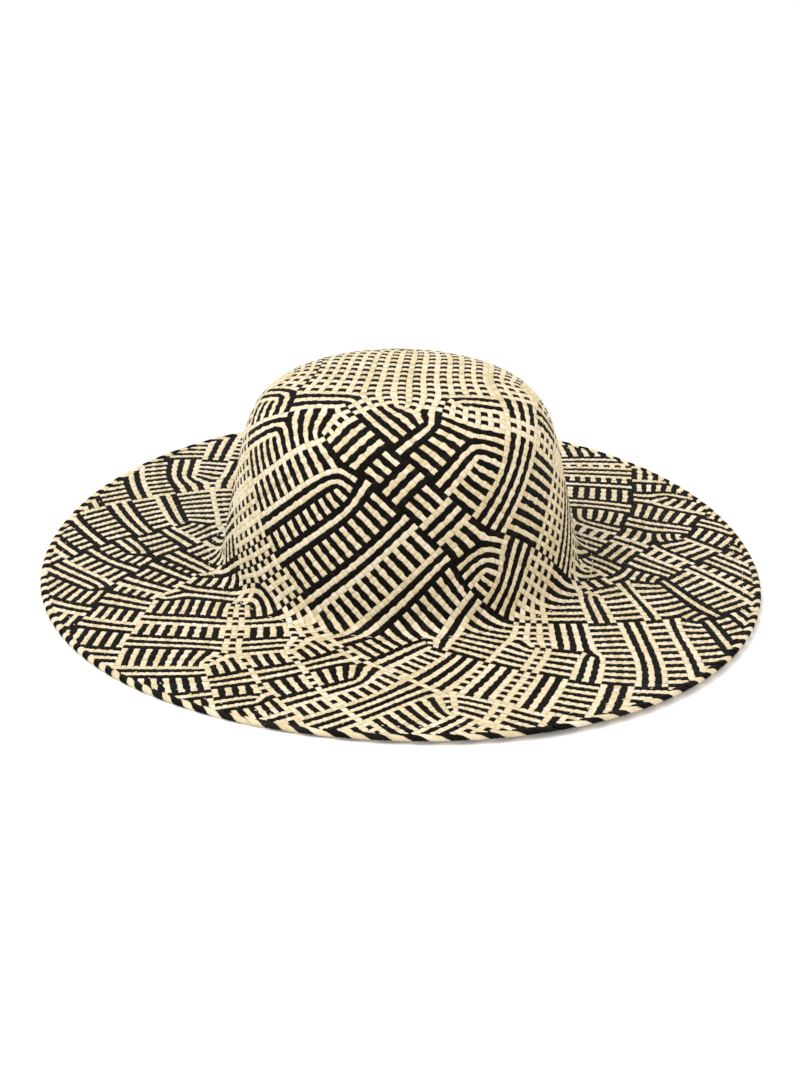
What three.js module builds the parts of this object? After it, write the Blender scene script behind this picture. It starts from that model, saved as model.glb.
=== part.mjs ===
// A wide-brimmed straw hat, standing on its rim as it would on a table.
// Millimetres, +Z up. The origin is on the surface, below the middle of the crown.
// The hat is a thin woven wall that runs from the middle of the crown's top, over the shoulder, down the
// side, round the foot of the crown and out to the rim. Each piece is that wall between two places on it.
// Every shape is drawn as a line in an upright plane through the middle, and the plane is turned round.
import * as THREE from "three";

// Crown: an oval tower with a gently domed top, a soft shoulder and sides that lean in.
const CROWN_HEIGHT = 109.3; // top of the crown above the surface
const CROWN_LENGTH = 195.6; // the oval at the foot, the longer way
const CROWN_WIDTH = 181.6; // the oval at the foot, the shorter way
const CROWN_TURN_DEG = -9; // the oval's long axis, from +X, seen from above
const CROWN_LEAN = 0.21; // share of its width that the crown would lose from foot to top
const SIDE_STRAIGHTNESS = 10.4; // higher keeps the side straight for longer below the shoulder
const TOP_FLATNESS = 3.2; // higher makes the top flatter

// Brim: nearly flat, a little oval in plan, and waved so that it stands on two arcs of its edge.
const FOOT_Z = 5.2; // where the side of the crown, drawn straight, meets the top of the brim
const FOOT_BEND = 7; // how far the soft bend reaches up the side and out along the brim
const RIM_RADIUS = 195.7;
const RIM_LOBES = [
  { order: 1, reach: 2.2, toward_deg: -85 },
  { order: 2, reach: 4.9, toward_deg: -57 },
  { order: 3, reach: 2, toward_deg: -42 },
  { order: 4, reach: 1.2, toward_deg: 36 },
];
const RIM_LIFT = 2.4; // how far the edge rises at both ends of the raised diagonal
const RIM_LIFT_TOWARD_DEG = -57;
const REST_SHARE = 0.25; // the lowest share of the wave, which lies flat on the surface

// Wall.
const WALL = 1.8; // the woven wall
const EDGE_THICKNESS = 3; // the finished edge, where the strands are turned back
const EDGE_WIDTH = 7;
const EDGE_ROUND = 0.9;
const EDGE_STEP = 1.5; // how wide the step is where the edge begins on the underside
const JOINT_GAP = 0.3; // between crown and brim, along the wall

// Facets.
const SEGMENTS = 64; // round the hat
const TOP_RINGS = 9; // from the middle of the top to the shoulder
const SIDE_RINGS = 11; // from the shoulder to the bend
const SIDE_CROWDING = 1.5; // higher puts more of the side's rings near the shoulder
const BEND_RINGS = 3; // on each side of the joint
const BRIM_RINGS = 6;
const SHOULDER_AT = 0.9; // share of the crown's height where the rings change from top to side
const HALVINGS = 50;

const radians = (degrees) => (degrees * Math.PI) / 180;
const mix = (from, to, share) => from + (to - from) * share;

// The foot of the crown in plan: an oval, as a radius in each direction.
function footRadius(angle) {
  const turned = angle - radians(CROWN_TURN_DEG);
  const long = CROWN_LENGTH / 2;
  const short = CROWN_WIDTH / 2;
  return (long * short) / Math.hypot(short * Math.cos(turned), long * Math.sin(turned));
}

// The rim in plan: a circle with a few long, low lobes.
function rimRadius(angle) {
  return RIM_LOBES.reduce(
    (radius, lobe) => radius + lobe.reach * Math.cos(lobe.order * (angle - radians(lobe.toward_deg))),
    RIM_RADIUS,
  );
}

// The underside of the edge: 0 along two opposite arcs, RIM_LIFT at the ends of the raised diagonal.
function edgeBottom(angle) {
  const wave = (1 + Math.cos(2 * (angle - radians(RIM_LIFT_TOWARD_DEG)))) / 2;
  return (RIM_LIFT * Math.max(0, wave - REST_SHARE)) / (1 - REST_SHARE);
}

// The crown's width at a share of its height, as a share of its width at the foot.
function crownShare(height) {
  return (1 - CROWN_LEAN * height) * (1 - height ** SIDE_STRAIGHTNESS) ** (1 / TOP_FLATNESS);
}

// The share of the crown's height where it has a given share of its width, found by halving.
function heightOfShare(share) {
  let low = 0;
  let high = 1;
  for (let step = 0; step < HALVINGS; step++) {
    const middle = (low + high) / 2;
    if (crownShare(middle) > share) low = middle;
    else high = middle;
  }
  return low;
}

// A point of the crown's outer side: x is the distance from the middle, y is the height.
function crownPoint(angle, height) {
  return new THREE.Vector2(
    footRadius(angle) * crownShare(height),
    mix(FOOT_Z, CROWN_HEIGHT, height),
  );
}

// A point of the brim's upper side, at a share of the way from the crown's foot to the rim.
function brimPoint(angle, way) {
  const edgeTop = edgeBottom(angle) + EDGE_THICKNESS;
  return new THREE.Vector2(
    mix(footRadius(angle), rimRadius(angle), way),
    mix(FOOT_Z, edgeTop, way),
  );
}

const bendHeight = FOOT_BEND / (CROWN_HEIGHT - FOOT_Z);
const bendWay = (angle) => FOOT_BEND / (rimRadius(angle) - footRadius(angle));

// The soft bend at the crown's foot, from the side to the brim, and the place on it of each piece's end.
function bendAt(angle) {
  const corner = new THREE.Vector2(footRadius(angle), FOOT_Z);
  const curve = new THREE.QuadraticBezierCurve(
    crownPoint(angle, bendHeight),
    corner,
    brimPoint(angle, bendWay(angle)),
  );
  const halfGap = JOINT_GAP / 2 / curve.getLength();
  return { curve, crownEnd: 0.5 - halfGap, brimStart: 0.5 + halfGap };
}

// The other side of the wall: each point moved square to the line, into the hat.
function insideOf(line) {
  return line.map((point, index) => {
    if (point.x === 0) return new THREE.Vector2(0, point.y - WALL);
    const before = line[Math.max(index - 1, 0)];
    const after = line[Math.min(index + 1, line.length - 1)];
    const along = after.clone().sub(before).setLength(WALL);
    return new THREE.Vector2(point.x + along.y, point.y - along.x);
  });
}

// The crown in one upright plane: its outer side from the middle of the top to the joint, and back inside.
function crownSection(angle) {
  const { curve, crownEnd } = bendAt(angle);
  const outer = [new THREE.Vector2(0, CROWN_HEIGHT)];
  for (let ring = 1; ring < TOP_RINGS; ring++) {
    const share = crownShare(SHOULDER_AT) * Math.sin((Math.PI / 2) * (ring / TOP_RINGS));
    outer.push(crownPoint(angle, heightOfShare(share)));
  }
  for (let ring = 0; ring < SIDE_RINGS; ring++) {
    const way = (ring / SIDE_RINGS) ** SIDE_CROWDING;
    outer.push(crownPoint(angle, mix(SHOULDER_AT, bendHeight, way)));
  }
  for (let ring = 0; ring <= BEND_RINGS; ring++) {
    outer.push(curve.getPoint((crownEnd * ring) / BEND_RINGS));
  }
  return [...outer, ...insideOf(outer).reverse()];
}

// The brim in one upright plane: its upper side from the joint to the edge, round the edge, and back below.
function brimSection(angle) {
  const { curve, brimStart } = bendAt(angle);
  const upper = [];
  for (let ring = 0; ring < BEND_RINGS; ring++) {
    upper.push(curve.getPoint(mix(brimStart, 1, ring / BEND_RINGS)));
  }
  const edgeWay = 1 - (EDGE_WIDTH + EDGE_STEP) / (rimRadius(angle) - footRadius(angle));
  for (let ring = 0; ring <= BRIM_RINGS; ring++) {
    upper.push(brimPoint(angle, mix(bendWay(angle), edgeWay, ring / BRIM_RINGS)));
  }
  const radius = rimRadius(angle);
  const bottom = edgeBottom(angle);
  const edge = [
    new THREE.Vector2(radius - EDGE_ROUND, bottom + EDGE_THICKNESS),
    new THREE.Vector2(radius, bottom + EDGE_THICKNESS / 2),
    new THREE.Vector2(radius - EDGE_ROUND, bottom),
    new THREE.Vector2(radius - EDGE_WIDTH, bottom),
  ];
  return [...upper, ...edge, ...insideOf(upper).reverse()];
}

// A closed solid from a loop of points in each upright plane. Points on the middle line are shared.
function turnedSolid(sectionAt) {
  const positions = [];
  const rings = [];
  for (let segment = 0; segment < SEGMENTS; segment++) {
    const angle = (2 * Math.PI * segment) / SEGMENTS;
    const ring = sectionAt(angle).map((point, index) => {
      if (point.x === 0 && segment > 0) return rings[0][index];
      positions.push(point.x * Math.cos(angle), point.x * Math.sin(angle), point.y);
      return positions.length / 3 - 1;
    });
    rings.push(ring);
  }
  const faces = [];
  const addFace = (a, b, c) => {
    if (a !== b && b !== c && c !== a) faces.push(a, b, c);
  };
  rings.forEach((ring, segment) => {
    const next = rings[(segment + 1) % SEGMENTS];
    ring.forEach((vertex, index) => {
      const after = (index + 1) % ring.length;
      addFace(vertex, ring[after], next[after]);
      addFace(vertex, next[after], next[index]);
    });
  });
  const geometry = new THREE.BufferGeometry();
  geometry.setAttribute("position", new THREE.Float32BufferAttribute(positions, 3));
  geometry.setIndex(faces);
  geometry.computeVertexNormals();
  return geometry;
}

const straw = new THREE.MeshStandardMaterial({ color: 0xe3cd96, roughness: 0.72, metalness: 0 });

function piece(name, sectionAt) {
  const mesh = new THREE.Mesh(turnedSolid(sectionAt), straw.clone());
  mesh.name = name;
  return mesh;
}

const hat = new THREE.Group();
hat.add(piece("crown", crownSection), piece("brim", brimSection));

export default hat;
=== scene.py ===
import math

import bpy
import numpy as np
from bpy.props import FloatProperty, FloatVectorProperty, IntProperty, PointerProperty
from bpy.types import Operator, Panel, PropertyGroup
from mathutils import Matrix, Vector


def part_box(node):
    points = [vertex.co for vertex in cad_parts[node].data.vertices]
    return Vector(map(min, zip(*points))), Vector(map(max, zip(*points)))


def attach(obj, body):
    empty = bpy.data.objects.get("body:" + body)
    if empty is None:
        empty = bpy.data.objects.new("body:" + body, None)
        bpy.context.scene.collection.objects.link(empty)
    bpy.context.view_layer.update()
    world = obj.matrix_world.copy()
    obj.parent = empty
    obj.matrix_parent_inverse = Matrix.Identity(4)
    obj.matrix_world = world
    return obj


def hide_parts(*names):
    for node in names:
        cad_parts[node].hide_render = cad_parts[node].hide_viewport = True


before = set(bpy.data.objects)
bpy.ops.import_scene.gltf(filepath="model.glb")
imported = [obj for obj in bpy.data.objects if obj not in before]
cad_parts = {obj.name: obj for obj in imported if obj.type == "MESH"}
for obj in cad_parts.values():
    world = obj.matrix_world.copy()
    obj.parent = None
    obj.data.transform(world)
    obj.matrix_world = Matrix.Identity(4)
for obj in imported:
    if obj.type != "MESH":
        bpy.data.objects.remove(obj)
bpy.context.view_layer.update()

bl_info = {
    "name": "Woven straw hat",
    "version": (1, 0, 0),
    "blender": (4, 5, 0),
    "location": "3D View > Sidebar > Straw Hat",
    "description": "Weaves a wide-brimmed hat of natural and black straw, strand by strand",
    "category": "Add Mesh",
}

MM = 0.001
BODY = "root"
CROWN_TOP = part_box("crown")[1].z

# Directions in these tables are in degrees, counter-clockwise from +X as seen from above.

# The rim in plan is a circle with a few long, low lobes: how often each goes round, how far it reaches,
# and the direction of its first crest.
RIM_LOBES = ((1, 2.2 * MM, -85), (2, 4.9 * MM, -57), (3, 2.0 * MM, -42), (4, 1.2 * MM, 36))

# The two shades of straw, and the two hands of strands.
NATURAL, BLACK = 0, 1
SHADES = ("natural", "black")
RIGHT, LEFT = 0, 1
HANDS = ("right", "left")

# The plate in the middle of the crown's top is a square weave. Its arms are rows of new strands, and each
# is given as its direction, its number of strands, and the shades that they take in turn.
PLATE_ARMS = (
    (0, 20, (BLACK, NATURAL) * 7 + (NATURAL, BLACK) * 3),
    (90, 15, (NATURAL,)),
    (180, 20, (NATURAL, BLACK) * 7 + (BLACK, NATURAL) * 3),
    (270, 12, (NATURAL,)),
)
# The whole plate is turned by this angle.
PLATE_TURN = -4.5

# The first chains of added strands, on the shoulder at the front: the ring and the direction of each.
FIRST_CHAINS = ((12, 222), (14, 318), (16, 262), (18, 300), (18, 335), (19, 240), (20, 205))

# The places of further chains go round the hat by the golden angle.
FIRST_PLACE = 150
GOLDEN_ANGLE = 137.508

# How each straw takes light: the contrast of its tones, its roughness and its gloss.
STRAW_LOOKS = {"natural": (0.29, 0.62, 0.3), "black": (0.008, 0.5, 0.05)}

# The net, the lines of its strands and the materials, which the operators share.
MADE = {}


class HatForm(PropertyGroup):
    """The hat's sizes, the same as in the CAD model."""

    crown_height: FloatProperty(
        name="Crown height", description="Top of the crown above the surface", default=CROWN_TOP,
        unit="LENGTH"
    )
    crown_length: FloatProperty(
        name="Crown length", description="The oval at the foot, the longer way", default=195.6 * MM,
        unit="LENGTH"
    )
    crown_width: FloatProperty(
        name="Crown width", description="The oval at the foot, the shorter way", default=181.6 * MM,
        unit="LENGTH"
    )
    crown_turn: FloatProperty(
        name="Crown turn", description="The oval's long axis, from +X", default=math.radians(-9),
        unit="ROTATION"
    )
    crown_lean: FloatProperty(
        name="Crown lean", description="Share of its width that the crown loses to its top", default=0.21,
        min=0, max=1, subtype="FACTOR"
    )
    side_straightness: FloatProperty(
        name="Side straightness", description="Higher keeps the side straight for longer", default=10.4
    )
    top_flatness: FloatProperty(
        name="Top flatness", description="Higher makes the top flatter", default=3.2
    )
    foot_height: FloatProperty(
        name="Foot height", description="Where side and brim would meet in a corner", default=5.2 * MM,
        unit="LENGTH"
    )
    foot_bend: FloatProperty(
        name="Foot bend", description="Reach of the soft bend, up the side and out", default=7 * MM,
        unit="LENGTH"
    )
    rim_radius: FloatProperty(
        name="Rim radius", description="Middle radius of the rim", default=195.7 * MM, unit="LENGTH"
    )
    rim_lift: FloatProperty(
        name="Rim lift", description="How far the rim rises on its raised diagonal", default=2.4 * MM,
        unit="LENGTH"
    )
    rim_lift_toward: FloatProperty(
        name="Rim lift toward", description="Direction of the raised diagonal", default=math.radians(-57),
        unit="ROTATION"
    )
    rim_rest_share: FloatProperty(
        name="Rest share", description="Lowest share of the wave, which lies flat", default=0.25,
        min=0, max=1, subtype="FACTOR"
    )
    rim_thickness: FloatProperty(
        name="Rim thickness", description="The finished edge", default=3 * MM, unit="LENGTH"
    )


class HatWeave(PropertyGroup):
    """The strands of the weave."""

    plate_spacing: FloatProperty(
        name="Plate spacing", description="Strand to strand, on the crown's top", default=3.6 * MM,
        unit="LENGTH"
    )
    side_spacing: FloatProperty(
        name="Side spacing", description="Strand to strand, on the side and the brim", default=3.15 * MM,
        unit="LENGTH"
    )
    strand_fill: FloatProperty(
        name="Strand fill", description="A natural strand's width as a share of the spacing", default=1.08,
        min=0.5, max=1.2, subtype="FACTOR"
    )
    black_width: FloatProperty(
        name="Black width", description="A black strand's width against a natural one's", default=1.13,
        min=0.8, max=1.2, subtype="FACTOR"
    )
    strand_thickness: FloatProperty(
        name="Strand thickness", description="Of one flattened straw", default=0.36 * MM, unit="LENGTH"
    )
    crossing_lift: FloatProperty(
        name="Crossing lift", description="How far a strand rises and dips at a crossing", default=0.21 * MM,
        unit="LENGTH"
    )
    depth: FloatProperty(
        name="Depth", description="The weave's middle below the hat's outer side", default=0.7 * MM,
        unit="LENGTH"
    )
    unevenness: FloatProperty(
        name="Unevenness", description="How much the widths of the strands vary", default=0.065,
        min=0, max=0.2, subtype="FACTOR"
    )
    seed: IntProperty(name="Seed", description="For the small unevenness of the strands", default=3)
    settling: IntProperty(
        name="Settling", description="Steps in which the weave evens out", default=500, min=1
    )


class HatFinish(PropertyGroup):
    """The colours."""

    natural: FloatVectorProperty(
        name="Natural straw", description="Undyed straw", default=(0.765, 0.655, 0.43), size=3,
        subtype="COLOR", min=0, max=1
    )
    black: FloatVectorProperty(
        name="Black straw", description="Dyed straw", default=(0.0055, 0.0042, 0.0028), size=3,
        subtype="COLOR", min=0, max=1
    )
    thread: FloatVectorProperty(
        name="Thread", description="Sewing thread", default=(0.80, 0.74, 0.60), size=3, subtype="COLOR",
        min=0, max=1
    )


class HatStage(PropertyGroup):
    """The camera and the studio."""

    camera_elevation: FloatProperty(
        name="Camera elevation", description="Above the horizon", default=math.radians(25.79), unit="ROTATION"
    )
    camera_distance: FloatProperty(
        name="Camera distance", description="From the origin", default=1.345, unit="LENGTH"
    )
    lens: FloatProperty(
        name="Lens", description="Focal length in millimetres", default=83.4, unit="CAMERA"
    )
    rise: FloatProperty(
        name="Rise", description="Upward shift of the view, as a share of its size", default=0.0281
    )


class Surface:
    """The hat's outer side as a map. A point of the flat map lies as far from its middle as its place on the
    hat lies from the middle of the crown's top, measured along the straw, and in the same direction."""

    # The crown's steps crowd towards the middle of its top, where the height hardly changes.
    CROWN_STEPS, CROWDING = 3000, 5
    BEND_STEPS = 60
    BRIM_STEPS = 200
    BEYOND_RIM = 6 * MM

    def __init__(self, form):
        self.form = form
        self.mean_foot = (form.crown_length + form.crown_width) / 4
        self.make_table()

    def foot_radius(self, angle):
        turned = angle - self.form.crown_turn
        long, short = self.form.crown_length / 2, self.form.crown_width / 2
        return long * short / np.hypot(short * np.cos(turned), long * np.sin(turned))

    def rim_radius(self, angle):
        lobes = (reach * np.cos(order * (angle - math.radians(toward))) for order, reach, toward in RIM_LOBES)
        return self.form.rim_radius + sum(lobes)

    def rim_bottom(self, angle):
        rest = self.form.rim_rest_share
        wave = (1 + np.cos(2 * (angle - self.form.rim_lift_toward))) / 2
        return self.form.rim_lift * np.maximum(0, wave - rest) / (1 - rest)

    def crown_share(self, height):
        form = self.form
        shoulder = np.clip(1 - height**form.side_straightness, 0, None) ** (1 / form.top_flatness)
        return (1 - form.crown_lean * height) * shoulder

    def make_table(self):
        """Down the middle line from the top to just past the rim: share of the foot's radius, way from the
        foot to the rim, and height."""
        form = self.form
        rise = form.crown_height - form.foot_height
        brim_width = form.rim_radius - self.mean_foot
        bend_height, bend_way = form.foot_bend / rise, form.foot_bend / brim_width
        brim_fall = form.rim_thickness - form.foot_height

        height = 1 - np.linspace(0, 1, self.CROWN_STEPS) ** self.CROWDING
        height = height[height >= bend_height]
        side = np.stack([self.crown_share(height), 0 * height, form.foot_height + rise * height], 1)

        step = np.linspace(0, 1, self.BEND_STEPS)[1:, None]
        start = np.array([self.crown_share(bend_height), 0, form.foot_height + form.foot_bend])
        corner = np.array([1, 0, form.foot_height])
        end = np.array([1, bend_way, form.foot_height + brim_fall * bend_way])
        bend = (1 - step) ** 2 * start + 2 * step * (1 - step) * corner + step**2 * end

        way = np.linspace(bend_way, 1 + self.BEYOND_RIM / brim_width, self.BRIM_STEPS)[1:]
        flat = np.stack([1 + 0 * way, way, form.foot_height + brim_fall * np.minimum(way, 1)], 1)

        self.share, self.way, self.height = np.concatenate([side, bend, flat]).T
        self.radius = self.mean_foot * self.share + brim_width * self.way
        steps = np.hypot(np.diff(self.radius), np.diff(self.height))
        self.reach = np.concatenate([[0], np.cumsum(steps)])
        on_brim = self.way > 0
        self.foot_reach = float(np.interp(bend_way / 2, self.way[on_brim], self.reach[on_brim]))
        self.rim_reach = float(np.interp(1, self.way[on_brim], self.reach[on_brim]))

    def place(self, sheet):
        """Points on the hat's outer side, for points of the map."""
        reach, angle = np.hypot(sheet[:, 0], sheet[:, 1]), np.arctan2(sheet[:, 1], sheet[:, 0])
        columns = (self.share, self.way, self.height)
        share, way, height = (np.interp(reach, self.reach, column) for column in columns)
        foot, rim = self.foot_radius(angle), self.rim_radius(angle)
        radius = foot * share + way * (rim - foot)
        height = height + way * self.rim_bottom(angle)
        return np.stack([radius * np.cos(angle), radius * np.sin(angle), height], 1)

    def directions(self, sheet, step=0.05 * MM):
        """The places, how they move with the map's two axes, and the outward normals."""
        here = self.place(sheet)
        along_x = (self.place(sheet + [step, 0]) - here) / step
        along_y = (self.place(sheet + [0, step]) - here) / step
        return here, along_x, along_y, unit(np.cross(along_x, along_y))


def unit(vectors, least=1e-12):
    return vectors / np.maximum(np.linalg.norm(vectors, axis=-1, keepdims=True), least)


class Net:
    """A net of four-cornered cells in rings round the middle of the top. Each cell is one crossing: its
    right-hand strand runs outward and counter-clockwise, its left-hand strand outward and clockwise.
    Where a strand is added, its two arms start in neighbouring cells and run out to the rim."""

    # Between these two reaches, over the shoulder, the spacing goes from the top's to the side's.
    SHOULDER = (55 * MM, 85 * MM)
    # The last ring of cells is the first with its corners this close to the rim.
    RIM_CLOSENESS = 1 * MM
    FIRST_ADDED_RING = 20
    BRIM_RING = 42
    # A chain begins this many cells or more from those that are growing or began in the last few rings,
    # and this far or more from the rim.
    CALM_CELLS, CALM_RINGS, CALM_RIM = 4.2, 4, 19 * MM
    # It may begin up to this many corners from its place, at a cost for each corner, and it is judged by
    # this many strands on each side.
    SEARCH, CORNER_COST, NEAR = 4, 0.2, 22
    TRIES = 60
    # Shortest and longest wanted run of alternating strands for each hand, and the numbers of strands that a
    # chain may have, first on the crown and then on the brim.
    PLANS = (
        ({RIGHT: (12, 24), LEFT: (3, 5)}, (3, 4, 5, 6)),
        ({RIGHT: (14, 30), LEFT: (3, 5)}, (3, 4, 5, 6)),
    )
    # How often the angles of a new ring are evened out, on the crown and on the brim, and how far each time.
    EVENINGS, EVENING_SHARE = (12, 45), 0.25
    # The pull of a cell's sides and of its ways across as the net settles, and the speed that is kept.
    SIDE_PULL, ACROSS_PULL, SPEED_KEPT = 0.25, 0.125, 0.9
    # How far inside the rim the last two rings of corners are held.
    LAST_RINGS_INSIDE = (4.1 * MM, 1.9 * MM)

    def __init__(self, surface, weave):
        self.surface, self.weave = surface, weave
        self.angle, self.reach, self.ring_of = [], [], []
        self.cells = []
        self.shade = []
        self.place_angle = math.radians(FIRST_PLACE)
        self.begun = []
        self.start_plate()
        self.grow_rings()
        self.settle()

    def spacing(self, reach):
        return np.interp(reach, self.SHOULDER, (self.weave.plate_spacing, self.weave.side_spacing))

    def next_reach(self, reach):
        return reach + float(self.spacing(reach)) / math.sqrt(2)

    def add_corner(self, angle, reach, ring):
        self.angle.append(angle)
        self.reach.append(reach)
        self.ring_of.append(ring)
        return len(self.angle) - 1

    def add_strand(self, shade):
        self.shade.append(shade)
        return len(self.shade) - 1

    def start_plate(self):
        """The middle of the top and the corners round it, from which the plate's arms grow. The ring that is
        growing is kept as lists: each cell's corner, inner corner, right-hand strand and left-hand strand."""
        self.ring = 1
        self.add_corner(0, 0, 0)
        turn, reach = math.radians(PLATE_TURN), self.next_reach(0)
        self.corners = [self.add_corner(math.radians(toward) + turn, reach, 1) for toward, _, _ in PLATE_ARMS]
        self.inner = [0] * len(self.corners)
        self.right = [self.add_strand(shades[0]) for _, _, shades in PLATE_ARMS]
        self.left = shifted(self.right)
        self.chains = {
            corner: {"left": count - 1, "shades": shades, "at": 1}
            for corner, (_, count, shades) in zip(self.corners, PLATE_ARMS)
        }

    def grow_rings(self):
        """Rings of cells, one round the other, out to the rim."""
        reach = self.next_reach(0)
        while True:
            outer_reach = self.next_reach(reach)
            outer = self.add_outer_corners(outer_reach)
            self.cells += zip([self.ring] * len(outer), self.inner, self.corners, outer,
                              shifted(self.corners), self.right, self.left)
            if reach >= self.surface.rim_reach - self.RIM_CLOSENESS:
                break
            self.start_chains(outer_reach)
            self.grow_ring(outer, outer_reach)
            self.even_angles()
            reach = outer_reach
        self.cells = np.array(self.cells)
        self.shade = np.array(self.shade)

    def add_outer_corners(self, reach):
        outer = []
        for corner, after in zip(self.corners, shifted(self.corners)):
            gap = (self.angle[after] - self.angle[corner]) % (2 * math.pi)
            outer.append(self.add_corner(self.angle[corner] + gap / 2, reach, self.ring + 1))
        return outer

    def grow_ring(self, outer, reach):
        """The next ring of corners, with a new strand at each chain."""
        corners, inner, right, left, chains = [], [], [], [], {}
        for i, corner in enumerate(self.corners):
            chain = self.chains.get(corner)
            if chain is None:
                corners.append(outer[i])
                inner.append(corner)
                right.append(self.right[i - 1])
                left.append(self.left[i])
                continue
            strand = self.add_strand(chain["shades"][chain["at"] % len(chain["shades"])])
            added = self.add_corner(self.angle[corner], reach, self.ring + 1)
            corners += [added, outer[i]]
            inner += [corner, corner]
            right += [self.right[i - 1], strand]
            left += [strand, self.left[i]]
            if chain["left"] > 1:
                chains[added] = dict(chain, left=chain["left"] - 1, at=chain["at"] + 1)
        # A cell lies between its own corner and the next one, at which the rest of it was listed.
        self.inner, self.right, self.left = shifted(inner), shifted(right), shifted(left)
        self.corners, self.chains = corners, chains
        self.ring += 1

    def even_angles(self):
        angle = np.unwrap([self.angle[corner] for corner in self.corners])
        for _ in range(self.EVENINGS[self.ring >= self.BRIM_RING]):
            gap = np.diff(np.append(angle, angle[0] + 2 * math.pi))
            angle = angle + self.EVENING_SHARE * (gap - np.roll(gap, 1))
        for corner, evened in zip(self.corners, angle):
            self.angle[corner] = float(evened)

    def start_chains(self, outer_reach):
        """Begins chains of added strands at the given places, and more where the next ring would be too wide
        for its strands."""
        if outer_reach > self.surface.rim_reach - self.CALM_RIM:
            return
        for ring, toward in FIRST_CHAINS:
            if ring == self.ring:
                self.begin_chain(math.radians(toward))
        if self.ring < self.FIRST_ADDED_RING:
            return
        radius = float(np.interp(outer_reach, self.surface.reach, self.surface.radius))
        wanted = 2 * math.pi * radius / (math.sqrt(2) * float(self.spacing(outer_reach)))
        missing = round(wanted - len(self.corners) - len(self.chains))
        for _ in range(self.TRIES):
            if missing <= 0:
                break
            self.place_angle = (self.place_angle + math.radians(GOLDEN_ANGLE)) % (2 * math.pi)
            missing -= self.begin_chain(self.place_angle)

    def begin_chain(self, angle):
        """Begins a chain near an angle, at the corner and with the strands that suit the runs best. Returns
        whether there was room for one."""
        count = len(self.corners)
        calm = [self.angle[corner] for corner in self.chains]
        calm += [begun for ring, begun in self.begun if self.ring - ring < self.CALM_RINGS]
        room = 2 * math.pi / count * self.CALM_CELLS
        if any(apart(angle, other) < room for other in calm):
            return False
        nearest = min(range(count), key=lambda i: apart(self.angle[self.corners[i]], angle))
        options = []
        for offset in range(-self.SEARCH, self.SEARCH + 1):
            at = (nearest + offset) % count
            if all(apart(self.angle[self.corners[at]], other) >= room for other in calm):
                options += self.chains_at(at, self.CORNER_COST * abs(offset))
        if not options:
            return False
        _, at, length, first = min(options, key=lambda option: option[0])
        self.chains[self.corners[at]] = {"left": length, "shades": (first, 1 - first), "at": 0}
        self.begun.append((self.ring, self.angle[self.corners[at]]))
        return True

    def chains_at(self, at, place_cost):
        """The chains that could begin at a corner, each as its cost, its place, its length and the shade of
        its first strand."""
        wanted_runs, lengths = self.PLANS[self.ring >= self.BRIM_RING]
        sides = ((self.shades_near(self.right, at), wanted_runs[RIGHT], -1),
                 (self.shades_near(self.left, at), wanted_runs[LEFT], 1))
        options = []
        for length in lengths:
            for first in (NATURAL, BLACK):
                added = [(first + k) % 2 for k in range(length)]
                cost = place_cost
                for (before, after), wanted, order in sides:
                    cost += runs_cost(before + added[::order] + after, wanted)
                    cost -= runs_cost(before + after, wanted)
                options.append((cost, at, length, first))
        return options

    def shades_near(self, strands, at):
        """The shades of the nearest strands before and after a corner."""
        count = len(strands)
        before = [self.shade[strands[(at - k) % count]] for k in range(self.NEAR, 0, -1)]
        after = [self.shade[strands[(at + k) % count]] for k in range(self.NEAR)]
        return before, after

    def links(self):
        """The pairs of corners that pull at each other, and which of them are sides of cells. The others lie
        across a cell from each other."""
        inner, first, outer, second = self.cells[:, 1:5].T
        sides = np.concatenate([np.stack(pair, 1) for pair in
                                ((inner, first), (first, outer), (outer, second), (second, inner))])
        sides = np.unique(np.sort(sides, 1), axis=0)
        across = np.concatenate([np.stack([inner, outer], 1), np.stack([first, second], 1)])
        start, end = np.concatenate([sides, across]).T
        return start, end, np.arange(len(start)) < len(sides)

    def settle(self):
        """Moves the corners over the hat until the strands lie evenly."""
        reach, angle, ring_of = np.array(self.reach), np.array(self.angle), np.array(self.ring_of)
        sheet = np.stack([reach * np.cos(angle), reach * np.sin(angle)], 1)
        start, end, is_side = self.links()
        stretch = np.where(is_side, 1, math.sqrt(2))
        pull = np.where(is_side, self.SIDE_PULL, self.ACROSS_PULL)[:, None]
        held = [(ring_of == self.ring + k, self.surface.rim_reach - inside)
                for k, inside in enumerate(self.LAST_RINGS_INSIDE)]
        count = len(sheet)
        speed = np.zeros_like(sheet)
        for _ in range(self.weave.settling):
            here, along_x, along_y, _ = self.surface.directions(sheet)
            gap = here[end] - here[start]
            length = np.linalg.norm(gap, axis=1, keepdims=True)
            reach = np.hypot(sheet[:, 0], sheet[:, 1])
            wanted = (self.spacing((reach[start] + reach[end]) / 2) * stretch)[:, None]
            force = pull * (length - wanted) / length * gap
            move = np.stack([
                np.bincount(start, force[:, axis], count) - np.bincount(end, force[:, axis], count)
                for axis in range(3)
            ], 1)
            # The move over the hat is solved for the move on the map.
            xx, xy, yy = ((a * b).sum(1) for a, b in
                          ((along_x, along_x), (along_x, along_y), (along_y, along_y)))
            on_x, on_y = (along_x * move).sum(1), (along_y * move).sum(1)
            solved = np.stack([yy * on_x - xy * on_y, xx * on_y - xy * on_x], 1)
            speed = self.SPEED_KEPT * speed + solved / (xx * yy - xy * xy)[:, None]
            sheet = sheet + speed
            sheet[0] = 0
            for ring, kept in held:
                sheet[ring] *= kept / np.linalg.norm(sheet[ring], axis=1, keepdims=True)
        self.sheet = sheet


def apart(angle, other):
    return abs((angle - other + math.pi) % (2 * math.pi) - math.pi)


def shifted(values):
    return values[1:] + values[:1]


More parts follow.
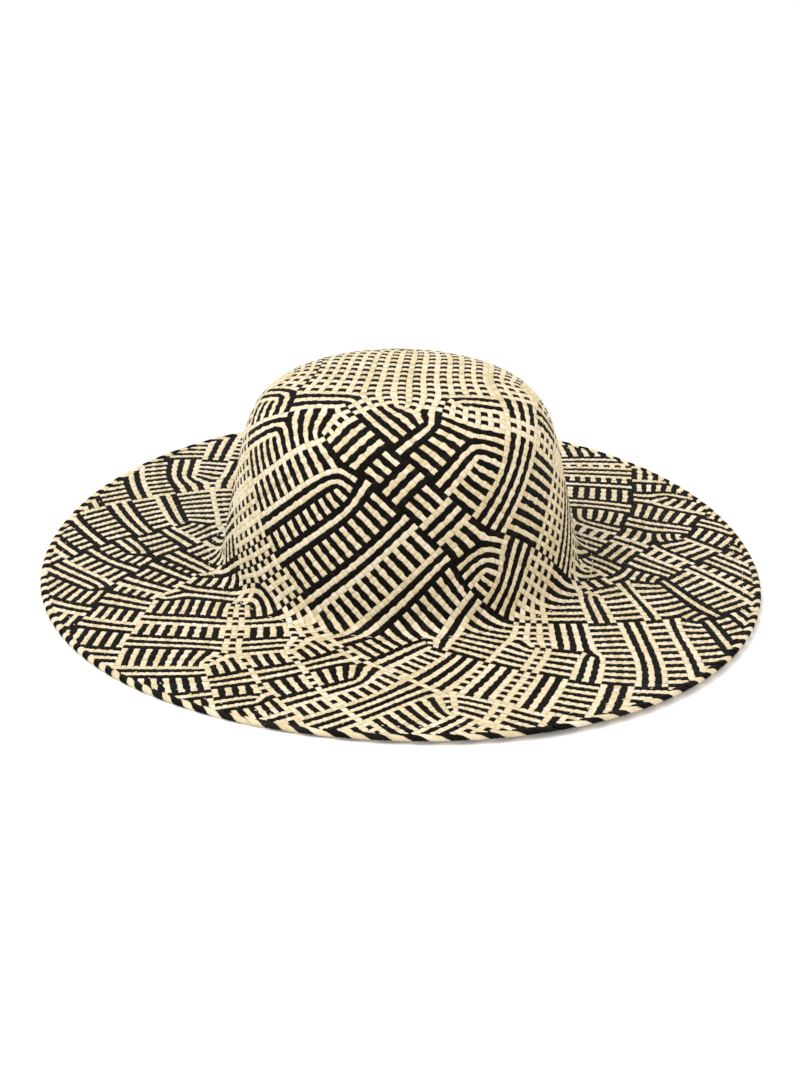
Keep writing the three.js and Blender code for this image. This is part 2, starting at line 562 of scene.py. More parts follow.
def runs_cost(shades, wanted, misfit=8, single=1.5, black_pair=-0.9):
    """How badly the runs between equal neighbours fit their wanted lengths. A run of one strand costs more,
    and two black neighbours cost less."""
    shortest, longest = wanted
    pairs = [k for k in range(1, len(shades)) if shades[k] == shades[k - 1]]
    lengths = np.diff([0] + pairs + [len(shades)])
    whole = lengths[1:-1]
    short, long = whole[whole < shortest], lengths[lengths > longest]
    cost = misfit * (((1 - short / shortest) ** 2).sum() + ((long / longest - 1) ** 2).sum())
    return float(cost + single * (lengths == 1).sum() + black_pair * sum(shades[k] == BLACK for k in pairs))


def made(key, make):
    """What the operators share is made at its first use."""
    if key not in MADE:
        MADE[key] = make()
    return MADE[key]


def woven_net():
    scene = bpy.context.scene
    return made("net", lambda: Net(Surface(scene.hat_form), scene.hat_weave))


class Ribbons:
    """Flat strands as rings of six points, one after the other. A break before a ring starts a new strand.
    The rings become one closed mesh, with a map of the straw's own length and girth for the grain, a tone for
    each strand, and a second map that gives every face its own place for baking."""

    # The section's points, as shares of the width across and of the thickness up.
    SECTION = np.array([(-0.5, 0), (-0.35, 0.5), (0.35, 0.5), (0.5, 0), (0.35, -0.5), (-0.35, -0.5)])
    SIDES = len(SECTION)
    # The map for baking has slots in rows. Each belt between two rings, and each end, takes up one slot.
    BAKE_COLUMNS_PER_ROW, BAKE_MARGIN, BAKE_END_RADIUS = 4, 0.06, 0.4

    def __init__(self, rings, breaks, tone):
        self.rings, self.breaks, self.tone = rings, breaks, tone

    @classmethod
    def from_lines(cls, middle, across, up, width, thickness, breaks, tone):
        """Rings round points on middle lines. across and up are unit vectors, up pointing out of the hat."""
        share_across, share_up = cls.SECTION.T
        rings = (
            middle[:, None]
            + across[:, None] * (share_across * np.asarray(width)[:, None])[..., None]
            + up[:, None] * (share_up * thickness)[None, :, None]
        )
        return cls(rings, breaks, tone)

    def build(self, name):
        """The mesh: a belt of quads between every two joined rings, and a flat end on each strand."""
        side = np.arange(self.SIDES)
        after = (side + 1) % self.SIDES
        start = np.flatnonzero(self.breaks)
        end = np.append(start[1:], len(self.rings)) - 1
        joined = np.flatnonzero(~self.breaks[1:])
        here, there = joined[:, None] * self.SIDES, (joined + 1)[:, None] * self.SIDES
        quads = np.stack([here + side, here + after, there + after, there + side], 2)
        caps = np.concatenate([start[:, None] * self.SIDES + side[::-1], end[:, None] * self.SIDES + side])
        mesh = mesh_of(
            name, self.rings.reshape(-1, 3), np.concatenate([quads.ravel(), caps.ravel()]),
            np.concatenate([np.full(quads.shape[0] * self.SIDES, 4), np.full(len(caps), self.SIDES)]),
        )
        self.add_grain_map(mesh, joined, start, end)
        self.add_bake_map(mesh, len(joined), len(caps))
        add_tone(mesh, np.repeat(self.tone, self.SIDES))
        return mesh

    def add_grain_map(self, mesh, joined, start, end):
        """Metres along the strand, and round its section."""
        steps = np.append(0, np.linalg.norm(np.diff(self.rings.mean(1), axis=0), axis=1))
        along = np.cumsum(steps)
        along -= np.maximum.accumulate(np.where(self.breaks, along, 0))
        loop = np.append(self.rings[0], self.rings[0][:1], axis=0)
        girth = np.append(0, np.cumsum(np.linalg.norm(np.diff(loop, axis=0), axis=1)))
        near, far = girth[:-1], girth[1:]
        here, there = along[joined][:, None], along[joined + 1][:, None]
        add_uv(mesh, "straw", [
            side_by_side(here, near, here, far, there, far, there, near),
            side_by_side(along[start][:, None], near[::-1]),
            side_by_side(along[end][:, None], near),
        ])

    def add_bake_map(self, mesh, segments, caps):
        """Rows of segments in their order along the strands, with the ends after them."""
        columns = math.ceil(math.sqrt((segments + caps) * self.BAKE_COLUMNS_PER_ROW))
        rows = math.ceil((segments + caps) / columns)
        side = np.arange(self.SIDES)
        row, column = np.divmod(np.arange(segments)[:, None], columns)
        level = (1 - 2 * self.BAKE_MARGIN) / self.SIDES
        left, right = column / columns, (column + 1) / columns
        low = (row + self.BAKE_MARGIN + level * side) / rows
        high = low + level / rows
        row, column = np.divmod(segments + np.arange(caps)[:, None], columns)
        turn = 2 * math.pi * side / self.SIDES
        cap_x = (column + 0.5 + self.BAKE_END_RADIUS * np.cos(turn)) / columns
        cap_y = (row + 0.5 + self.BAKE_END_RADIUS * np.sin(turn)) / rows
        add_uv(mesh, "OFBake", [
            side_by_side(left, low, left, high, right, high, right, low),
            side_by_side(cap_x, cap_y),
        ])


def side_by_side(*columns):
    """Pairs of map coordinates from columns that are stretched to one size."""
    return np.stack(np.broadcast_arrays(*columns), -1).reshape(-1, 2)


def mesh_of(name, vertices, loops, sizes):
    """A smooth mesh from its points, the points of all faces one after the other, and the faces' sizes."""
    mesh = bpy.data.meshes.new(name)
    mesh.vertices.add(len(vertices))
    mesh.vertices.foreach_set("co", vertices.astype(np.float32).ravel())
    mesh.loops.add(len(loops))
    mesh.loops.foreach_set("vertex_index", loops.astype(np.int32))
    mesh.polygons.add(len(sizes))
    mesh.polygons.foreach_set("loop_start", np.concatenate([[0], np.cumsum(sizes)[:-1]]).astype(np.int32))
    mesh.update(calc_edges=True)
    mesh.shade_smooth()
    return mesh


def add_uv(mesh, name, values):
    flat = np.concatenate(values).astype(np.float32).ravel()
    mesh.uv_layers.new(name=name).data.foreach_set("uv", flat)


def add_tone(mesh, values):
    tone = mesh.attributes.new("tone", "FLOAT", "POINT")
    tone.data.foreach_set("value", values.astype(np.float32))


class StrandLines:
    """Each strand of the net from its one end at the rim, over its middle, to its other end. A strand has two
    points at each crossing, and one more where one piece ends and the next begins, which is always under
    another strand. Over another strand it is wider, and hides the places where the strands beside it dive."""

    # A strand's points lie this share of the way in from the borders of a cell, over and under another one.
    OVER_ENTERS, UNDER_ENTERS = 0.25, 0.13
    # How wide a strand is under another one against over it, and its most as a share of the spacing.
    UNDER_SHARE, WIDEST = 0.84, 1.26
    # How much deeper the strands end at the rim, below the turned ends.
    TUCK = 0.5 * MM
    CROWN, BRIM = 0, 1

    def __init__(self, net):
        self.net = net
        weave = net.weave
        here, _, _, normal = net.surface.directions(net.sheet)
        ring_of = np.array(net.ring_of)
        depth = weave.depth + self.TUCK * (ring_of == ring_of.max())
        self.corner = here - normal * depth[:, None]
        self.normal = normal
        self.order_crossings()
        self.choose_pieces()
        self.make_points(np.random.default_rng(weave.seed + 1))

    def order_crossings(self):
        """Every crossing twice, once for each of its strands, in the order in which the strands run."""
        ring, inner, first, outer, second, right, left = self.net.cells.T
        strand = np.concatenate([right, left])
        order = np.concatenate([ring, -ring])
        side = np.repeat([RIGHT, LEFT], len(ring))
        over = np.concatenate([ring % 2 == 1, ring % 2 == 0])
        corners = np.concatenate([
            np.stack([inner, first, second, outer], 1),
            np.stack([first, outer, inner, second], 1),
        ])
        sorting = np.lexsort((order, strand))
        self.strand, self.ring, self.side, self.over, self.corners = (
            values[sorting] for values in (strand, np.abs(order), side, over, corners)
        )

    def choose_pieces(self):
        """The part, the shade and the hand of the first and of the second half of each crossing. They change
        only where a strand is under another one, which hides it."""
        net = self.net
        reach = np.hypot(*net.sheet.T)
        ring_of = np.array(net.ring_of)
        means = np.array([reach[ring_of == ring].mean() for ring in range(net.ring)])
        foot_ring = int(np.argmin(np.abs(means - net.surface.foot_reach)))
        # A right-hand strand is under another on even rings, and a left-hand one on odd rings.
        cut = foot_ring + (foot_ring + self.side) % 2
        outward = self.side == RIGHT
        beyond = self.ring > cut
        at_cut = self.ring == cut
        part_first = np.where(beyond | (at_cut & ~outward), self.BRIM, self.CROWN)
        part_second = np.where(beyond | (at_cut & outward), self.BRIM, self.CROWN)
        # A strand's hand changes in its middle crossing, in the cell in which it is under another strand.
        side_first, side_second = self.side.copy(), self.side.copy()
        middle = np.flatnonzero((self.strand[1:] == self.strand[:-1]) & (self.side[1:] != self.side[:-1]))
        right_under = self.ring[middle] % 2 == 0
        side_first[middle[right_under] + 1] = self.side[middle[right_under]]
        side_second[middle[~right_under]] = self.side[middle[~right_under] + 1]
        shade = net.shade[self.strand]
        self.first = self.kind_of(part_first, shade, side_first)
        self.second = self.kind_of(part_second, shade, side_second)

    def kind_of(self, part, shade, side):
        """One number for the part, the shade and the hand."""
        return part + 2 * shade + 4 * side

    def make_points(self, random):
        """Where each strand runs, how wide it is, and the directions across it and out of the hat."""
        weave = self.net.weave
        count = len(self.strand)
        enters = np.where(self.over, self.OVER_ENTERS, self.UNDER_ENTERS)
        half = np.full(count, 0.5)
        share = np.stack([enters, half, half, 1 - enters], 1)
        kind = np.stack([self.first, self.first, self.second, self.second], 1)
        cut = self.first != self.second
        kept = np.stack([np.ones(count, bool), cut, cut, np.ones(count, bool)], 1)
        crossing = np.repeat(np.arange(count), 4).reshape(count, 4)[kept]
        share, self.kind, self.of_strand = share[kept][:, None], kind[kept], self.strand[crossing]

        in_left, in_right, out_left, out_right = self.corners[crossing].T
        left = self.corner[in_left] * (1 - share) + self.corner[out_left] * share
        right = self.corner[in_right] * (1 - share) + self.corner[out_right] * share
        into = self.normal[in_left] + self.normal[in_right]
        out = self.normal[out_left] + self.normal[out_right]
        self.up = unit(into * (1 - share) + out * share)
        over = self.over[crossing]
        wander = random.normal(0, weave.unevenness, count)[crossing][:, None]
        lift = np.where(over, 1, -1)[:, None] * weave.crossing_lift
        self.middle = (left + right) / 2 + (right - left) * wander / 2 + self.up * lift
        across = right - left
        across -= (across * self.up).sum(1, keepdims=True) * self.up
        strands = len(self.net.shade)
        fullness = weave.strand_fill * np.where(self.net.shade == BLACK, weave.black_width, 1)
        fullness = fullness * (1 + random.normal(0, weave.unevenness / 2, strands))
        breadth = fullness[self.of_strand] * (1 + random.normal(0, weave.unevenness, count)[crossing])
        breadth = np.minimum(breadth, self.WIDEST) * np.where(over, 1, self.UNDER_SHARE)
        self.width = np.linalg.norm(across, axis=1) * breadth
        self.across = unit(across)
        self.tone = random.uniform(0, 1, strands)[self.of_strand]

    def ribbons(self, part, shade, side):
        """The strands of one part, shade and hand."""
        at = np.flatnonzero(self.kind == self.kind_of(part, shade, side))
        breaks = np.ones(len(at), bool)
        breaks[1:] = (np.diff(at) != 1) | (np.diff(self.of_strand[at]) != 0)
        return Ribbons.from_lines(
            self.middle[at], self.across[at], self.up[at], self.width[at], self.net.weave.strand_thickness,
            breaks, self.tone[at]
        )


def strand_lines():
    return made("lines", lambda: StrandLines(woven_net()))


class RimEdge:
    """The finished edge as a map: the angle round the rim, metres over it from the top to the underside, and
    a height above it."""

    # The flat stretches above and below the round of the edge, and how far the lower one rises into the brim.
    TOP_FLAT, LOW_FLAT, LOW_RISE = 2.7 * MM, 5.0 * MM, 1.5 * MM
    # The map's level lies this deep in the edge, and heights count for this share on the underside.
    DEPTH, UNDERSIDE_SHARE = 0.35 * MM, 0.4

    def __init__(self, surface):
        self.surface = surface
        self.bend = surface.form.rim_thickness / 2 - self.DEPTH
        self.turn = math.pi * self.bend
        self.length = self.TOP_FLAT + self.turn + self.LOW_FLAT

    def place(self, angle, over, height):
        turned = np.clip((over - self.TOP_FLAT) / self.bend, 0, math.pi)
        before = np.minimum(over - self.TOP_FLAT, 0)
        after = np.maximum(over - self.TOP_FLAT - self.turn, 0)
        flatter = (1 + self.UNDERSIDE_SHARE + (1 - self.UNDERSIDE_SHARE) * np.cos(turned)) / 2
        away = self.bend + height * flatter
        out = away * np.sin(turned) + before - after - self.bend - self.DEPTH
        up = away * np.cos(turned) + self.surface.form.rim_thickness / 2 + self.surface.rim_bottom(angle)
        up = up + self.LOW_RISE * (after / self.LOW_FLAT) ** 2
        radius = self.surface.rim_radius(angle) + out
        return np.stack([radius * np.cos(angle), radius * np.sin(angle), up], -1)


class RimLeaves:
    """Strand ends that are turned back over the edge. Each is a closed leaf from two grids of points, a top
    and an underside, with a belt round the border. A turn is its place and how steeply it crosses the rim."""

    STEPS, SIDES = 15, 5
    BREADTH, UNEVEN_BREADTH, THICKNESS = 4.4 * MM, 0.06, 0.34 * MM
    # The outline is the arch of a sine without this share at each tip, and this power makes it fuller.
    TIP, FULLNESS = 0.05, 0.45
    # How far a leaf rises at its middle, dips at its tips, leans over the next leaf and is crowned across.
    RISE, DIP, LEAN, CROWN = 0.28 * MM, 0.34 * MM, 0.3 * MM, 0.14 * MM
    GRAIN_LENGTH, GRAIN_BREADTH = 30 * MM, 5 * MM
    BAKE_INSET = 0.12

    def __init__(self, edge, turns, random):
        self.leaves = [self.leaf(edge, angle, slant, random) for angle, slant in turns]
        self.tones = random.uniform(0, 1, len(turns))

    def leaf(self, edge, angle, slant, random):
        """The two grids, one after the other."""
        over = np.linspace(0, 1, self.STEPS)[:, None]
        across = np.linspace(-1, 1, self.SIDES)[None]
        outline = np.sin(math.pi * (self.TIP + (1 - 2 * self.TIP) * over)) ** self.FULLNESS
        half = self.BREADTH / 2 * outline * (1 + random.normal(0, self.UNEVEN_BREADTH))
        round_rim = (over - 0.5) * edge.length / math.tan(slant) - half * across * math.sin(slant)
        over_rim = over * edge.length + half * across * math.cos(slant)
        arch = np.sin(math.pi * over)
        lift = self.RISE * np.sqrt(arch) - self.DIP * (1 - arch) + self.LEAN * across
        place = angle + round_rim / edge.surface.form.rim_radius
        top = lift + self.THICKNESS / 2 + self.CROWN * (1 - across**2)
        return np.stack([edge.place(place, over_rim, level) for level in (top, lift - self.THICKNESS / 2)])

    def leaf_faces(self):
        index = np.arange(self.STEPS * self.SIDES).reshape(self.STEPS, self.SIDES)
        top = np.stack([index[:-1, :-1], index[:-1, 1:], index[1:, 1:], index[1:, :-1]], 2).reshape(-1, 4)
        border = np.concatenate([index[0, :-1], index[:-1, -1], index[-1, :0:-1], index[:0:-1, 0]])
        after = np.roll(border, -1)
        belt = np.stack([after, border, border + index.size, after + index.size], 1)
        return np.concatenate([top, top[:, ::-1] + index.size, belt])

    def build(self, name):
        faces, count = self.leaf_faces(), len(self.leaves)
        size = 2 * self.STEPS * self.SIDES
        loops = (faces.ravel() + size * np.arange(count)[:, None]).ravel()
        points = np.concatenate(self.leaves).reshape(-1, 3)
        mesh = mesh_of(name, points, loops, np.full(len(faces) * count, 4))
        along = np.linspace(0, self.GRAIN_LENGTH, self.STEPS)
        girth = np.linspace(0, self.GRAIN_BREADTH, self.SIDES)
        grain = np.tile(side_by_side(along[:, None], girth), (2, 1))
        add_uv(mesh, "straw", [grain[faces.ravel()]] * count)
        columns = math.ceil(math.sqrt(len(faces) * count))
        row, column = np.divmod(np.arange(len(faces) * count)[:, None], columns)
        low, high = self.BAKE_INSET, 1 - self.BAKE_INSET
        across = (column + np.array([low, low, high, high])) / columns
        up = (row + np.array([low, high, high, low])) / columns
        add_uv(mesh, "OFBake", [side_by_side(across, up)])
        add_tone(mesh, np.repeat(self.tones, size))
        return mesh


def joined_ribbons(parts):
    """Several groups of ribbons as one."""
    columns = zip(*((ribbons.rings, ribbons.breaks, ribbons.tone) for ribbons in parts))
    return Ribbons(*(np.concatenate(column) for column in columns))


class Nodes:
    """Adds and links the nodes of one material."""

    def __init__(self, name):
        self.material = bpy.data.materials.new(name)
        self.material.use_nodes = True
        self.tree = self.material.node_tree
        self.shader = self.tree.nodes["Principled BSDF"]

    def add(self, kind, **settings):
        node = self.tree.nodes.new(kind)
        for key, value in settings.items():
            setattr(node, key, value)
        return node

    def link(self, output, socket):
        self.tree.links.new(output, socket)

    def feed(self, output, name):
        """Links an output to the shader."""
        self.link(output, self.shader.inputs[name])

    def set(self, name, value):
        """A value that is the same all over, on the shader's own socket."""
        self.shader.inputs[name].default_value = value

    def math(self, operation, first, second=0.0):
        node = self.add("ShaderNodeMath", operation=operation)
        for socket, value in zip(node.inputs, (first, second)):
            if isinstance(value, (int, float)):
                socket.default_value = value
            else:
                self.link(value, socket)
        return node.outputs[0]

    def straw_map(self):
        """The way along and the way round a straw or a thread, in metres."""
        split = self.add("ShaderNodeSeparateXYZ")
        self.link(self.add("ShaderNodeUVMap", uv_map="straw").outputs["UV"], split.inputs["Vector"])
        return split.outputs["X"], split.outputs["Y"]

    def ramp(self, factor, stops):
        node = self.add("ShaderNodeValToRGB")
        elements = node.color_ramp.elements
        while len(elements) < len(stops):
            elements.new(0.5)
        for element, (position, colour) in zip(elements, stops):
            element.position = position
            element.color = (*colour, 1)
        self.link(factor, node.inputs["Fac"])
        return node.outputs["Color"]

    def noise(self, vector, scale=1.0, detail=3.0, roughness=0.55):
        node = self.add("ShaderNodeTexNoise", noise_dimensions="3D")
        node.inputs["Scale"].default_value = scale
        node.inputs["Detail"].default_value = detail
        node.inputs["Roughness"].default_value = roughness
        self.link(vector, node.inputs["Vector"])
        return node.outputs["Fac"]

    def bump(self, height, distance, strength=1.0):
        node = self.add("ShaderNodeBump")
        node.inputs["Strength"].default_value = strength
        node.inputs["Distance"].default_value = distance
        self.link(height, node.inputs["Height"])
        self.feed(node.outputs["Normal"], "Normal")


def scaled(colour, share):
    return tuple(min(1.0, channel * share) for channel in colour)


def straw_material(name, colour, contrast, roughness, gloss):
    """Straw with fine fibres along the strand, paler and darker stretches, and a tone for each strand."""
    fibre_size, stretch_size = (9 * MM, 0.35 * MM), (14 * MM, 6 * MM)
    fibre_share, stretch_share, tone_share = 0.5, 0.3, 0.2
    tone_apart = 400.0
    dark_stop, own_stop, pale_stop = 0.30, 0.50, 0.64
    darkening, paling, palest = (0.9, 1.1, 1.5), 1.1, 0.97
    rough_range = 0.18
    nodes = Nodes(name)
    along, across = nodes.straw_map()
    tone = nodes.add("ShaderNodeAttribute", attribute_name="tone").outputs["Fac"]

    def stretched(size):
        """A point for noise of a size along and across the strand, far from those of other strands."""
        vector = nodes.add("ShaderNodeCombineXYZ")
        nodes.link(nodes.math("DIVIDE", along, size[0]), vector.inputs["X"])
        nodes.link(nodes.math("DIVIDE", across, size[1]), vector.inputs["Y"])
        nodes.link(nodes.math("MULTIPLY", tone, tone_apart), vector.inputs["Z"])
        return vector.outputs["Vector"]

    fibres = nodes.noise(stretched(fibre_size), detail=4.0, roughness=0.62)
    stretches = nodes.noise(stretched(stretch_size), detail=2.0)
    mixed = nodes.math("MULTIPLY", fibres, fibre_share)
    for value, share in ((stretches, stretch_share), (tone, tone_share)):
        mixed = nodes.math("ADD", mixed, nodes.math("MULTIPLY", value, share))
    dark = tuple(channel * (1 - contrast * much) for channel, much in zip(colour, darkening))
    pale = tuple(channel + (palest - channel) * paling * contrast for channel in colour)
    nodes.feed(nodes.ramp(mixed, [(dark_stop, dark), (own_stop, colour), (pale_stop, pale)]), "Base Color")
    rough = nodes.math("ADD", nodes.math("MULTIPLY", fibres, rough_range), roughness - rough_range / 2)
    nodes.feed(rough, "Roughness")
    nodes.set("Specular IOR Level", gloss)
    nodes.bump(fibres, distance=0.08 * MM, strength=0.35)
    return nodes.material


def thread_material(name, colour):
    """Twisted thread: slanting plies across the stitch, with painted shade in the grooves between them and a
    painted highlight on their crests.
    """
    ply_width, ply_slant = 0.45 * MM, 0.6
    groove_shade, crest_highlight, own_stop = 0.72, 1.1, 0.6
    nodes = Nodes(name)
    along, across = nodes.straw_map()
    slant = nodes.math("ADD", along, nodes.math("MULTIPLY", across, ply_slant))
    ply = nodes.math("SINE", nodes.math("MULTIPLY", slant, 2 * math.pi / ply_width))
    level = nodes.math("ADD", nodes.math("MULTIPLY", ply, 0.5), 0.5)
    # The ramp paints shade into the plies' grooves and a highlight onto their crests.
    stops = [(0.0, scaled(colour, groove_shade)), (own_stop, colour), (1.0, scaled(colour, crest_highlight))]
    nodes.feed(nodes.ramp(level, stops), "Base Color")
    nodes.set("Roughness", 0.8)
    nodes.bump(ply, distance=0.05 * MM)
    return nodes.material


def made_material(finish):
    colour = tuple(getattr(bpy.context.scene.hat_finish, finish))
    if finish in STRAW_LOOKS:
        return made(finish, lambda: straw_material(f"{finish}_straw", colour, *STRAW_LOOKS[finish]))
    return made(finish, lambda: thread_material("sewing_thread", colour))


def add_piece(mesh, finish, slot, *nodes):
    """Puts a mesh into the scene as a piece of the hat."""
    if not len(mesh.polygons):
        raise RuntimeError(f"{mesh.name} came out empty")
    piece = bpy.data.objects.new(mesh.name, mesh)
    bpy.context.scene.collection.objects.link(piece)
    mesh.materials.append(made_material(finish))
    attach(piece, BODY)
    if nodes:
        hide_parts(*nodes)


def add_strands(part, part_name):
    """The strands of a part. Those of each shade and hand are a piece of their own."""
    lines = strand_lines()
    for shade, name in enumerate(SHADES):
        for side, hand in enumerate(HANDS):
            strands = lines.ribbons(part, shade, side)
            add_piece(strands.build(f"{part_name}_{name}_{hand}_strands"), name, f"{name}_straw", part_name)


class HAT_OT_crown_weave(Operator):
    """Weaves the crown's strands"""

    bl_idname = "straw_hat.crown_weave"
    bl_label = "Weave the Crown"

    def execute(self, context):
        add_strands(StrandLines.CROWN, "crown")
        return {"FINISHED"}


class HAT_OT_brim_weave(Operator):
    """Weaves the brim's strands"""

    bl_idname = "straw_hat.brim_weave"
    bl_label = "Weave the Brim"

    def execute(self, context):
        add_strands(StrandLines.BRIM, "brim")
        return {"FINISHED"}


class HAT_OT_rim_turns(Operator):
    """Turns the strand ends back over the rim, in long turns at the front and steep ones at the sides"""

    bl_idname = "straw_hat.rim_turns"
    bl_label = "Finish the Rim"

    SEED = 11
    # The way from turn to turn at the sides, what it gains to the front and the back, and how sharply.
    SIDE_PITCH, FRONT_MORE, FRONT_POWER = 4.7 * MM, 4.5 * MM, 4
    # The way from turn to turn square to their length, and the share of them that repeat a shade.
    COVER, REPEATS = 3.7 * MM, 0.08
    UNEVEN_PLACE, UNEVEN_SLANT = 0.09, 0.06
    STEPS = 2000

    def execute(self, context):
        edge = RimEdge(woven_net().surface)
        random = np.random.default_rng(self.SEED)
        turns = [(angle, self.slant_at(angle, random)) for angle in self.places(edge, random)]
        shades = (np.arange(len(turns)) + np.cumsum(random.uniform(0, 1, len(turns)) < self.REPEATS)) % 2
        for shade, name in enumerate(SHADES):
            leaves = RimLeaves(edge, [turn for turn, own in zip(turns, shades) if own == shade], random)
            add_piece(leaves.build(f"rim_{name}_turns"), name, f"{name}_straw", "brim")
        return {"FINISHED"}

    def pitch(self, angle):
        return self.SIDE_PITCH + self.FRONT_MORE * np.sin(angle) ** self.FRONT_POWER

    def places(self, edge, random):
        """Angles of the turns, spaced by the pitch and a little uneven."""
        steps = np.linspace(0, 2 * math.pi, self.STEPS)
        turns = np.append(0, np.cumsum(np.diff(steps) * edge.surface.form.rim_radius / self.pitch(steps[1:])))
        count = round(turns[-1])
        uneven = random.uniform(-self.UNEVEN_PLACE, self.UNEVEN_PLACE, count)
        return np.interp((np.arange(count) + uneven) * turns[-1] / count, turns, steps)

    def slant_at(self, angle, random):
        """How steeply a turn crosses the rim, so that the turns cover it evenly."""
        uneven = random.uniform(-self.UNEVEN_SLANT, self.UNEVEN_SLANT)
        return math.asin(self.COVER / self.pitch(angle)) * (1 + uneven)


class HAT_OT_stitches(Operator):
    """Sews one ring of stitches at the crown's foot and one near the rim"""

    bl_idname = "straw_hat.stitches"
    bl_label = "Sew the Stitches"

    SEED = 5
    RADIUS = 0.2 * MM
    # A stitch's length, the way from one to the next, and how far beyond the foot or inside the rim they go.
    FOOT_STITCH, FOOT_PITCH, FOOT_BEYOND = 3.2 * MM, 7.5 * MM, 3.5 * MM
    RIM_STITCH, RIM_PITCH, RIM_INSIDE = 1.5 * MM, 9.0 * MM, 9.5 * MM
    # How uneven the places along the ring are as shares of the pitch, the lengths and the slopes as shares
    # of the length, and the places across the ring in millimetres.
    UNEVEN_PLACE, UNEVEN_LENGTH, UNEVEN_SLOPE, UNEVEN_RING = 0.12, 0.2, 0.12, 0.4
    STEPS = 7
    # How high a stitch arches, how deep it starts and how thick it is, as shares of its radius, and how far
    # all of it is raised.
    ARCH, SUNK, THICKNESS, RAISED = 1.5, 1.2, 1.7, 0.1 * MM
    # How blunt its ends are, and their least width squared.
    END_POWER, END_LEAST = 6, 0.25

    def execute(self, context):
        surface = woven_net().surface
        random = np.random.default_rng(self.SEED)
        rings = ((surface.foot_reach + self.FOOT_BEYOND, self.FOOT_STITCH, self.FOOT_PITCH),
                 (surface.rim_reach - self.RIM_INSIDE, self.RIM_STITCH, self.RIM_PITCH))
        stitches = joined_ribbons([self.sewn_ring(surface, *ring, random) for ring in rings])
        add_piece(stitches.build("stitches"), "thread", "sewing_thread")
        return {"FINISHED"}

    def sewn_ring(self, surface, reach, length, pitch, random):
        """Short stitches along a ring of the hat, as ribbons almost as thick as they are wide."""
        first = surface.place(np.array([[reach, 0.0]]))[0]
        count = round(2 * math.pi * np.hypot(first[0], first[1]) / pitch)

        def uneven(most):
            return random.uniform(-most, most, (count, 1))

        share = np.linspace(-0.5, 0.5, self.STEPS)[None]
        middle = 2 * math.pi * (np.arange(count)[:, None] + uneven(self.UNEVEN_PLACE)) / count
        radius = float(np.interp(reach, surface.reach, surface.radius))
        angle = middle + share * length / radius * (1 + uneven(self.UNEVEN_LENGTH))
        slope = uneven(self.UNEVEN_SLOPE) * length
        away = reach + slope * share + uneven(self.UNEVEN_RING) * MM
        sheet = np.stack([away * np.cos(angle), away * np.sin(angle)], 2).reshape(-1, 2)
        here, _, _, normal = surface.directions(sheet)
        arch = ((1 - (2 * share) ** 2) * self.ARCH - self.SUNK) * self.RADIUS + self.RAISED
        points = here + normal * np.tile(arch[0], count)[:, None]
        along = unit(np.gradient(points.reshape(count, self.STEPS, 3), axis=1).reshape(-1, 3))
        width = 2 * self.RADIUS * np.sqrt(np.clip(1 - (2 * share[0]) ** self.END_POWER, self.END_LEAST, 1))
        breaks = np.tile(np.arange(self.STEPS) == 0, count)
        tone = np.repeat(random.uniform(0, 1, count), self.STEPS)
        return Ribbons.from_lines(points, unit(np.cross(along, normal)), normal, np.tile(width, count),
                                  self.THICKNESS * self.RADIUS, breaks, tone)


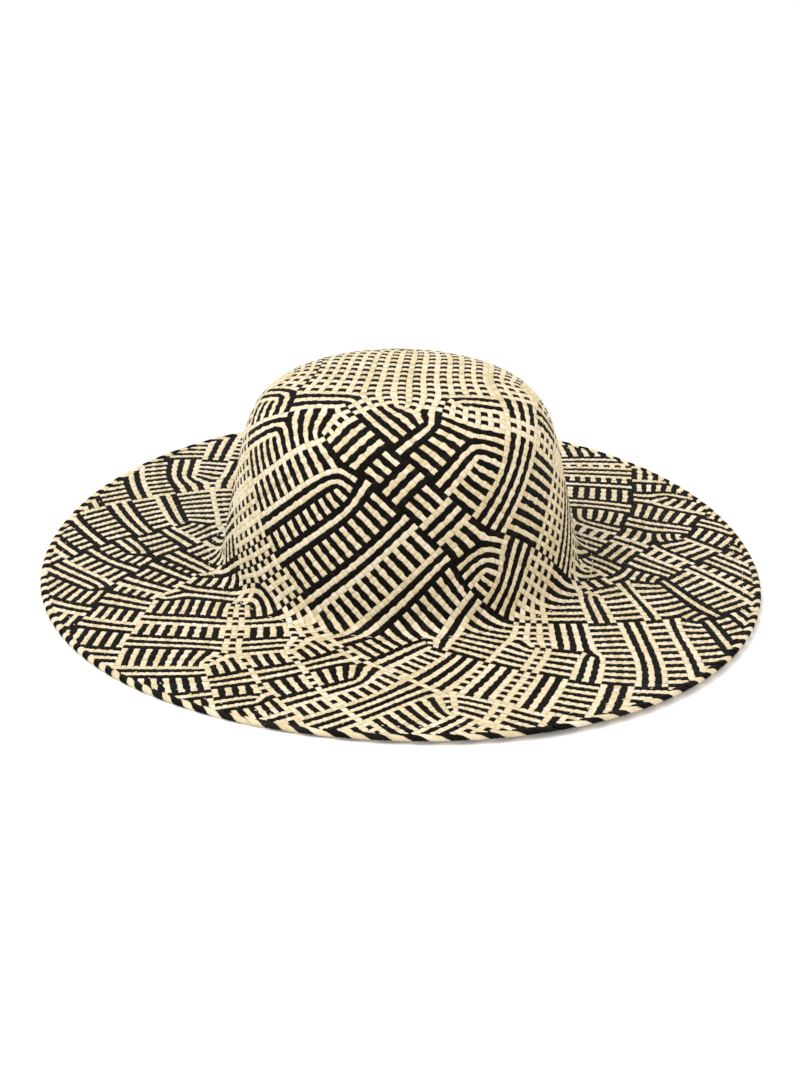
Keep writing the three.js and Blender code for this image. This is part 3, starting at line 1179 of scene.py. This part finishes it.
class HAT_OT_stage(Operator):
    """Sets up the pale floor, the soft light and the camera"""

    bl_idname = "straw_hat.stage"
    bl_label = "Set the Stage"

    # Each light's place, width in metres, power in watts and colour.
    LIGHTS = {
        "window": ((-1.15, -0.45, 2.1), 1.3, 35.3, (0.915, 0.935, 1.0)),
        "fill": ((1.5, -0.9, 1.9), 2.0, 15, (1.0, 0.81, 0.6)),
    }
    LIT_POINT = (0, 0, 0.03)
    ROOM_LIGHT = 0.8
    # The camera's sensor in millimetres, and how far it sees in metres.
    SENSOR_WIDTH, VIEW_END = 36, 50
    FLOOR_SIZE = 12.0
    # The floor's greys at two stops of its grain, the grain's scale, and the roughness.
    FLOOR_GREYS, FLOOR_GRAIN, FLOOR_ROUGHNESS = ((0.3, 0.88), (0.7, 0.9)), 300.0, 0.9
    FLOOR_GLOW, FLOOR_GLOW_STRENGTH = (1.0, 0.98, 0.95, 1), 0.12

    def execute(self, context):
        scene = context.scene
        self.add_floor(scene)
        for name, light in self.LIGHTS.items():
            self.add_light(scene, name, *light)
        world = bpy.data.worlds.new("studio")
        world.use_nodes = True
        background = world.node_tree.nodes["Background"]
        background.inputs["Color"].default_value = (1.0, 1.0, 1.0, 1)
        background.inputs["Strength"].default_value = self.ROOM_LIGHT
        scene.world = world
        scene.view_settings.view_transform = "Standard"
        scene.view_settings.look = "None"
        self.add_camera(scene)
        return {"FINISHED"}

    def add_camera(self, scene):
        stage = scene.hat_stage
        lens = bpy.data.cameras.new("camera")
        lens.lens, lens.sensor_width, lens.sensor_fit = stage.lens, self.SENSOR_WIDTH, "AUTO"
        lens.shift_y = stage.rise
        lens.clip_end = self.VIEW_END
        camera = bpy.data.objects.new("camera", lens)
        tilt, distance = stage.camera_elevation, stage.camera_distance
        camera.location = (0, -distance * math.cos(tilt), distance * math.sin(tilt))
        camera.rotation_euler = (math.pi / 2 - tilt, 0, 0)
        scene.collection.objects.link(camera)
        scene.camera = camera

    def add_floor(self, scene):
        half = self.FLOOR_SIZE / 2
        corners = np.array([(-half, -half, 0), (half, -half, 0), (half, half, 0), (-half, half, 0)])
        floor = bpy.data.objects.new("floor", mesh_of("floor", corners, np.arange(4), np.array([4])))
        scene.collection.objects.link(floor)
        nodes = Nodes("paper")
        place = nodes.add("ShaderNodeTexCoord").outputs["Object"]
        stops = [(stop, (grey, grey, grey)) for stop, grey in self.FLOOR_GREYS]
        nodes.feed(nodes.ramp(nodes.noise(place, self.FLOOR_GRAIN), stops), "Base Color")
        nodes.set("Roughness", self.FLOOR_ROUGHNESS)
        nodes.set("Emission Color", self.FLOOR_GLOW)
        nodes.set("Emission Strength", self.FLOOR_GLOW_STRENGTH)
        floor.data.materials.append(nodes.material)

    def add_light(self, scene, name, place, size, power, colour):
        light = bpy.data.lights.new(name, "AREA")
        light.size, light.energy, light.color = size, power, colour
        lamp = bpy.data.objects.new(name, light)
        lamp.location = place
        lamp.rotation_euler = (Vector(self.LIT_POINT) - Vector(place)).to_track_quat("-Z", "Y").to_euler()
        scene.collection.objects.link(lamp)


class HAT_PT_panel(Panel):
    """The hat's settings and steps, in the sidebar"""

    bl_idname = "HAT_PT_panel"
    bl_label = "Straw Hat"
    bl_space_type = "VIEW_3D"
    bl_region_type = "UI"
    bl_category = "Straw Hat"

    def draw(self, context):
        for group in GROUPS:
            settings = getattr(context.scene, group)
            column = self.layout.column()
            for name in settings.bl_rna.properties.keys():
                if name not in ("rna_type", "name"):
                    column.prop(settings, name)
        for operator in OPERATORS:
            self.layout.operator(operator.bl_idname)


GROUPS = {"hat_form": HatForm, "hat_weave": HatWeave, "hat_finish": HatFinish, "hat_stage": HatStage}
OPERATORS = (HAT_OT_stage, HAT_OT_crown_weave, HAT_OT_brim_weave, HAT_OT_rim_turns, HAT_OT_stitches)


def register():
    for cls in (*GROUPS.values(), *OPERATORS, HAT_PT_panel):
        bpy.utils.register_class(cls)
    for name, group in GROUPS.items():
        setattr(bpy.types.Scene, name, PointerProperty(type=group))


def unregister():
    for name in GROUPS:
        delattr(bpy.types.Scene, name)
    for cls in (HAT_PT_panel, *OPERATORS[::-1], *list(GROUPS.values())[::-1]):
        bpy.utils.unregister_class(cls)


def main():
    register()
    bpy.ops.straw_hat.stage()
    bpy.ops.straw_hat.crown_weave()
    bpy.ops.straw_hat.brim_weave()
    bpy.ops.straw_hat.rim_turns()
    bpy.ops.straw_hat.stitches()


if __name__ == "__main__":
    main()
